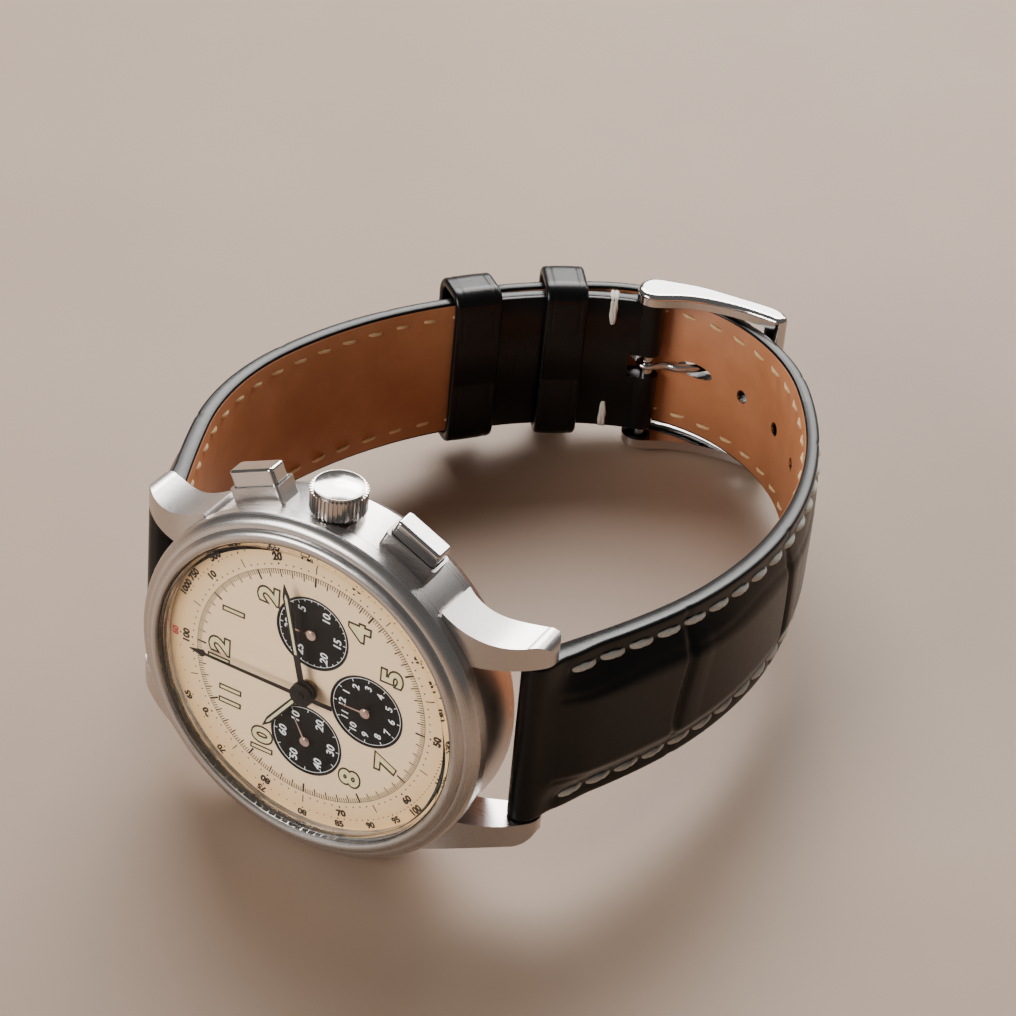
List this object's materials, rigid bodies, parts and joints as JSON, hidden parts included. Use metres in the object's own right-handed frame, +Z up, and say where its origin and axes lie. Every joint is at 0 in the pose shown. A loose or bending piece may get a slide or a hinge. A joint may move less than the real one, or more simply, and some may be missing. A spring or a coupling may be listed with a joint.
{
  "type": "chronograph wristwatch",
  "caption": "Round steel chronograph wristwatch on a buckled leather strap, lying on its side, with turning hands, crown, push buttons and movement.",
  "frame": {"origin": "centre of the bounding box's footprint, on the surface that the watch lies on", "axes": "+Z up, towards the crown; +Y from the dial towards the buckle; +X towards 6 o'clock"},
  "size_m": [0.0658, 0.085, 0.0436],
  "materials": {
    "brushed_steel": "satin brushed steel",
    "polished_steel": "polished steel",
    "sapphire": "clear domed sapphire",
    "dial_cream": "matt cream lacquer",
    "dial_black": "black with fine concentric grooves",
    "hand_black": "black lacquer with a pale filling",
    "hand_polished": "polished steel",
    "movement_plate": "rhodium plated, grained",
    "wheel_brass": "gilt brass",
    "movement_steel": "polished steel",
    "blued_steel": "blued steel",
    "gasket": "matt",
    "leather_black": "glossy black embossed leather",
    "leather_tan": "smooth tan leather"
  },
  "bodies": {
    "case_and_strap": {"mid_case": "brushed_steel", "bezel": "brushed_steel", "crystal": "sapphire", "crystal_gasket": "gasket", "caseback": "brushed_steel", "caseback_gasket": "gasket", "movement_ring": "movement_plate", "dial": "dial_cream", "subdials": "dial_black", "dial_flange": "brushed_steel", "crown_tube": "brushed_steel", "pusher_guards": "brushed_steel", "mainplate": "movement_plate", "top_bridge": "movement_plate", "bridge_screws": "blued_steel", "balance_cock": "movement_plate", "hairspring": "blued_steel", "pallet_bridge": "movement_plate", "strap_short": "leather_black", "strap_short_lining": "leather_tan", "strap_long": "leather_black", "strap_long_lining": "leather_tan", "fixed_keeper": "leather_black", "spring_bars": "polished_steel"},
    "winding_pinion": {"winding_pinion": "movement_steel"},
    "crown_and_stem": {"crown": "polished_steel", "stem": "movement_steel"},
    "start_pusher": {"start_pusher": "polished_steel"},
    "reset_pusher": {"reset_pusher": "polished_steel"},
    "operating_lever": {"operating_lever": "movement_steel"},
    "reset_hammer": {"reset_hammer": "movement_steel"},
    "column_wheel": {"column_wheel": "movement_steel"},
    "minute_hand": {"minute_hand": "hand_black", "cannon_pinion": "movement_steel"},
    "minute_wheel": {"minute_wheel": "wheel_brass"},
    "hour_hand": {"hour_hand": "hand_black", "hour_wheel": "wheel_brass"},
    "small_seconds": {"small_seconds_hand": "hand_polished", "fourth_wheel": "wheel_brass"},
    "escape_wheel": {"escape_wheel": "movement_steel"},
    "third_wheel": {"third_wheel": "wheel_brass"},
    "centre_wheel": {"centre_wheel": "wheel_brass"},
    "barrel": {"barrel": "wheel_brass", "mainspring": "movement_steel"},
    "pallet_fork": {"pallet_fork": "movement_steel"},
    "balance_wheel": {"balance_wheel": "wheel_brass"},
    "chrono_hand": {"chrono_hand": "hand_black", "chrono_runner": "movement_steel"},
    "minute_idler": {"minute_idler": "wheel_brass"},
    "minute_counter": {"minute_counter_hand": "hand_polished", "minute_counter_wheel": "wheel_brass"},
    "hour_idler": {"hour_idler": "wheel_brass"},
    "hour_counter": {"hour_counter_hand": "hand_polished", "hour_counter_wheel": "wheel_brass"},
    "rotor": {"rotor": "movement_plate"},
    "buckle_frame": {"buckle_frame": "polished_steel"},
    "buckle_tongue": {"buckle_tongue": "polished_steel"},
    "free_keeper": {"free_keeper": "leather_black"}
  },
  "joints": [
    {"name": "crown_turn", "type": "hinge", "parent": "case_and_strap", "child": "winding_pinion", "pos_m": [-0.00067, -0.03376, 0.02821], "axis": [0, 0.1264, 0.992], "continuous": true},
    {"name": "crown_pull", "type": "slide", "parent": "winding_pinion", "child": "crown_and_stem", "axis": [0, 0.1264, 0.992], "range_m": [0, 0.0015]},
    {"name": "start_push", "type": "slide", "parent": "case_and_strap", "child": "start_pusher", "axis": [0.4242, -0.1144, -0.8983], "range_m": [0, 0.0008], "stiffness_N_per_m": 3000, "springref_m": -0.0006},
    {"name": "reset_push", "type": "slide", "parent": "case_and_strap", "child": "reset_pusher", "axis": [-0.4242, -0.1144, -0.8983], "range_m": [0, 0.0008], "stiffness_N_per_m": 3000, "springref_m": -0.0006},
    {"name": "operating_lever_swing", "type": "hinge", "parent": "case_and_strap", "child": "operating_lever", "pos_m": [-0.00972, -0.03347, 0.02923], "axis": [0, 0.992, -0.1264], "range_deg": [0, 10.74]},
    {"name": "reset_hammer_swing", "type": "hinge", "parent": "case_and_strap", "child": "reset_hammer", "pos_m": [0.00838, -0.03347, 0.02923], "axis": [0, 0.992, -0.1264], "range_deg": [-10.74, 0]},
    {"name": "column_wheel_turn", "type": "hinge", "parent": "case_and_strap", "child": "column_wheel", "pos_m": [-0.00427, -0.03399, 0.02985], "axis": [0, 0.992, -0.1264], "continuous": true},
    {"name": "minute_hand_turn", "type": "hinge", "parent": "case_and_strap", "child": "minute_hand", "pos_m": [-0.00067, -0.03918, 0.02084], "axis": [0, 0.992, -0.1264], "continuous": true},
    {"name": "minute_wheel_turn", "type": "hinge", "parent": "case_and_strap", "child": "minute_wheel", "pos_m": [0.00215, -0.03732, 0.01956], "axis": [0, 0.992, -0.1264], "continuous": true},
    {"name": "hour_hand_turn", "type": "hinge", "parent": "case_and_strap", "child": "hour_hand", "pos_m": [-0.00067, -0.03868, 0.02077], "axis": [0, 0.992, -0.1264], "continuous": true},
    {"name": "small_seconds_turn", "type": "hinge", "parent": "case_and_strap", "child": "small_seconds", "pos_m": [-0.00067, -0.03607, 0.01358], "axis": [0, 0.992, -0.1264], "continuous": true},
    {"name": "escape_wheel_turn", "type": "hinge", "parent": "case_and_strap", "child": "escape_wheel", "pos_m": [-0.00425, -0.03615, 0.01296], "axis": [0, 0.992, -0.1264], "continuous": true},
    {"name": "third_wheel_turn", "type": "hinge", "parent": "case_and_strap", "child": "third_wheel", "pos_m": [0.00208, -0.03566, 0.0168], "axis": [0, 0.992, -0.1264], "continuous": true},
    {"name": "centre_wheel_turn", "type": "hinge", "parent": "case_and_strap", "child": "centre_wheel", "pos_m": [-0.00067, -0.03521, 0.02033], "axis": [0, 0.992, -0.1264], "continuous": true},
    {"name": "barrel_turn", "type": "hinge", "parent": "case_and_strap", "child": "barrel", "pos_m": [-0.00558, -0.03483, 0.02332], "axis": [0, 0.992, -0.1264], "continuous": true},
    {"name": "pallet_fork_swing", "type": "hinge", "parent": "case_and_strap", "child": "pallet_fork", "pos_m": [-0.00598, -0.03533, 0.01386], "axis": [0, 0.992, -0.1264], "range_deg": [-5, 5]},
    {"name": "balance_swing", "type": "hinge", "parent": "case_and_strap", "child": "balance_wheel", "pos_m": [-0.00858, -0.03385, 0.01519], "axis": [0, 0.992, -0.1264], "range_deg": [-270, 270], "stiffness_Nm_per_rad": 0.000002},
    {"name": "chrono_hand_turn", "type": "hinge", "parent": "case_and_strap", "child": "chrono_hand", "pos_m": [-0.00067, -0.03918, 0.02084], "axis": [0, 0.992, -0.1264], "continuous": true},
    {"name": "minute_idler_turn", "type": "hinge", "parent": "case_and_strap", "child": "minute_idler", "pos_m": [-0.00196, -0.03283, 0.02315], "axis": [0, 0.992, -0.1264], "continuous": true},
    {"name": "minute_counter_turn", "type": "hinge", "parent": "case_and_strap", "child": "minute_counter", "pos_m": [-0.00067, -0.03236, 0.02682], "axis": [0, 0.992, -0.1264], "continuous": true},
    {"name": "hour_idler_turn", "type": "hinge", "parent": "case_and_strap", "child": "hour_idler", "pos_m": [0.00319, -0.03269, 0.0243], "axis": [0, 0.992, -0.1264], "continuous": true},
    {"name": "hour_counter_turn", "type": "hinge", "parent": "case_and_strap", "child": "hour_counter", "pos_m": [0.00613, -0.03223, 0.01995], "axis": [0, 0.992, -0.1264], "continuous": true},
    {"name": "rotor_turn", "type": "hinge", "parent": "case_and_strap", "child": "rotor", "pos_m": [-0.00067, -0.03074, 0.01976], "axis": [0, 0.992, -0.1264], "continuous": true},
    {"name": "buckle_frame_swing", "type": "hinge", "parent": "case_and_strap", "child": "buckle_frame", "pos_m": [-0.00198, 0.03669, 0.01117], "axis": [0, 0.1264, 0.992], "range_deg": [0, 2]},
    {"name": "buckle_tongue_swing", "type": "hinge", "parent": "case_and_strap", "child": "buckle_tongue", "pos_m": [-0.00198, 0.03669, 0.01117], "axis": [0, 0.1264, 0.992], "range_deg": [0, 2]},
    {"name": "free_keeper_slide", "type": "hinge", "parent": "case_and_strap", "child": "free_keeper", "pos_m": [0.02354, -0.01029, 0.01716], "axis": [0, 0.1264, 0.992], "range_deg": [-1.8, 5]}
  ],
  "couplings": [
    {"joint": "operating_lever_swing", "follows": "start_push", "rad_per_m": 229.52},
    {"joint": "reset_hammer_swing", "follows": "reset_push", "rad_per_m": -229.52},
    {"joint": "minute_wheel_turn", "follows": "minute_hand_turn", "ratio": -0.33333},
    {"joint": "hour_hand_turn", "follows": "minute_hand_turn", "ratio": 0.083333},
    {"joint": "escape_wheel_turn", "follows": "small_seconds_turn", "ratio": -12},
    {"joint": "third_wheel_turn", "follows": "small_seconds_turn", "ratio": -0.13333},
    {"joint": "centre_wheel_turn", "follows": "small_seconds_turn", "ratio": 0.016667},
    {"joint": "barrel_turn", "follows": "small_seconds_turn", "ratio": -0.002381},
    {"joint": "minute_idler_turn", "follows": "chrono_hand_turn", "ratio": -0.2},
    {"joint": "minute_counter_turn", "follows": "chrono_hand_turn", "ratio": 0.033333},
    {"joint": "hour_idler_turn", "follows": "chrono_hand_turn", "ratio": -0.0055556},
    {"joint": "hour_counter_turn", "follows": "chrono_hand_turn", "ratio": 0.0013889},
    {"joint": "buckle_tongue_swing", "follows": "buckle_frame_swing", "ratio": 1}
  ]
}
